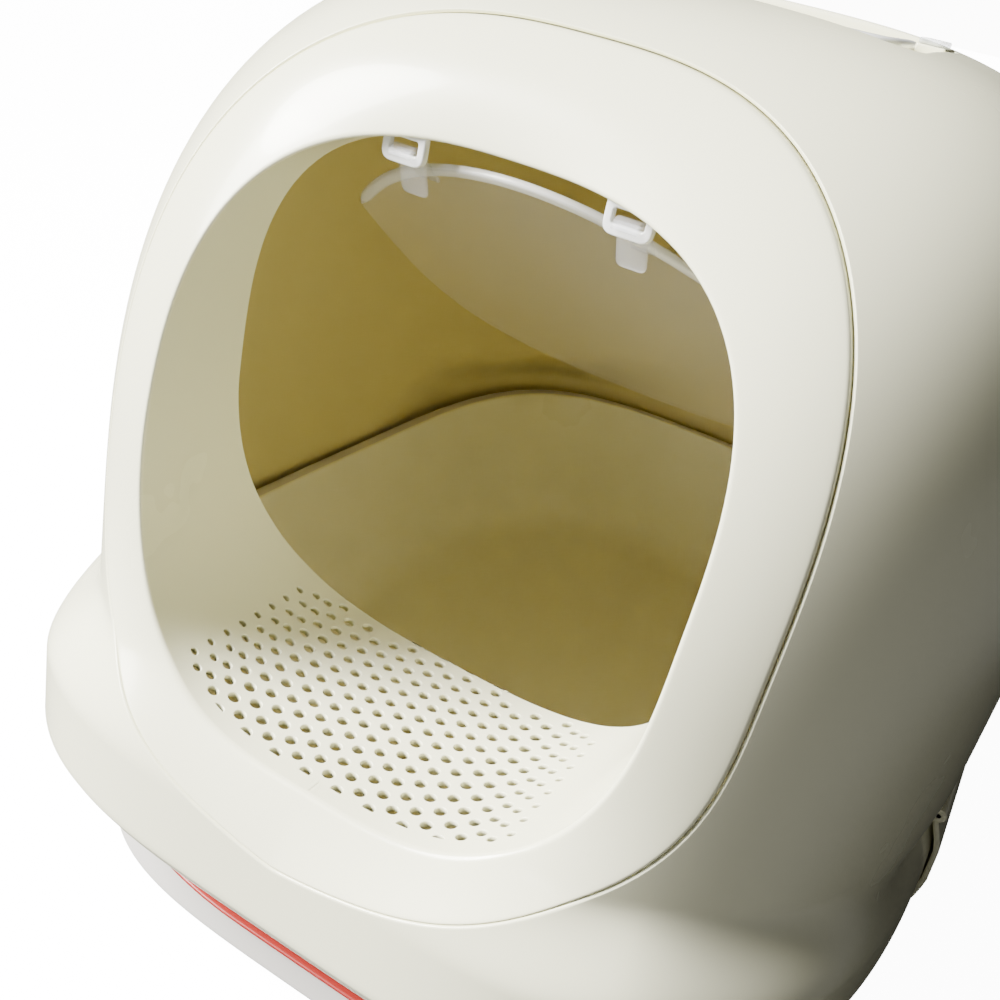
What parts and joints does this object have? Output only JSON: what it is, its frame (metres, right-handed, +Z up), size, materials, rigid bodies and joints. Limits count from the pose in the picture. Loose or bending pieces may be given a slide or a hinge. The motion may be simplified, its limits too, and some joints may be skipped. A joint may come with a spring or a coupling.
{
  "type": "covered litter box",
  "caption": "Covered litter box: deep tray, lift-off domed hood with a walk-in entrance and perforated step, swinging flap, folding handle, side latches.",
  "frame": {"origin": "centre of the bounding box in plan, at the underside of the tray", "axes": "+Z up, -Y towards the entrance, +X to the right of someone facing the back from the entrance"},
  "size_m": [0.4712, 0.638, 0.4637],
  "materials": {
    "ivory_plastic": "glossy",
    "tray_plastic": "satin",
    "red_trim": "satin",
    "flap_plastic": "frosted",
    "handle_plastic": "glossy",
    "white_plastic": "glossy",
    "clear_cap": "glossy"
  },
  "bodies": {
    "base": {"base_tray": "tray_plastic", "rim_trim": "red_trim"},
    "hood": {"hood_shell": "ivory_plastic", "entry_ring": "ivory_plastic", "perforated_step": "ivory_plastic", "hinge_bracket_left": "white_plastic", "hinge_bracket_right": "white_plastic", "handle_pin_left": "white_plastic", "handle_pin_right": "white_plastic", "handle_cap_left": "clear_cap", "handle_cap_right": "clear_cap", "latch_pin_left": "white_plastic", "latch_pin_right": "white_plastic"},
    "flap": {"flap": "flap_plastic"},
    "handle": {"carry_handle": "handle_plastic"},
    "latch_left": {"side_latch_left": "ivory_plastic"},
    "latch_right": {"side_latch_right": "ivory_plastic"}
  },
  "joints": [
    {"name": "hood_lift", "type": "slide", "parent": "base", "child": "hood", "axis": [0, 0, 1], "range_m": [0, 0.3]},
    {"name": "flap_swing", "type": "hinge", "parent": "hood", "child": "flap", "pos_m": [0, -0.232, 0.3855], "axis": [1, 0, 0], "range_deg": [-95, 4]},
    {"name": "handle_fold", "type": "hinge", "parent": "hood", "child": "handle", "pos_m": [0, -0.03, 0.4558], "axis": [-1, 0, 0], "range_deg": [0, 90]},
    {"name": "latch_left_swing", "type": "hinge", "parent": "hood", "child": "latch_left", "pos_m": [-0.22615, -0.004, 0.121], "axis": [0, 1, 0], "range_deg": [0, 70]},
    {"name": "latch_right_swing", "type": "hinge", "parent": "hood", "child": "latch_right", "pos_m": [0.22615, -0.004, 0.121], "axis": [0, -1, 0], "range_deg": [0, 70]}
  ]
}
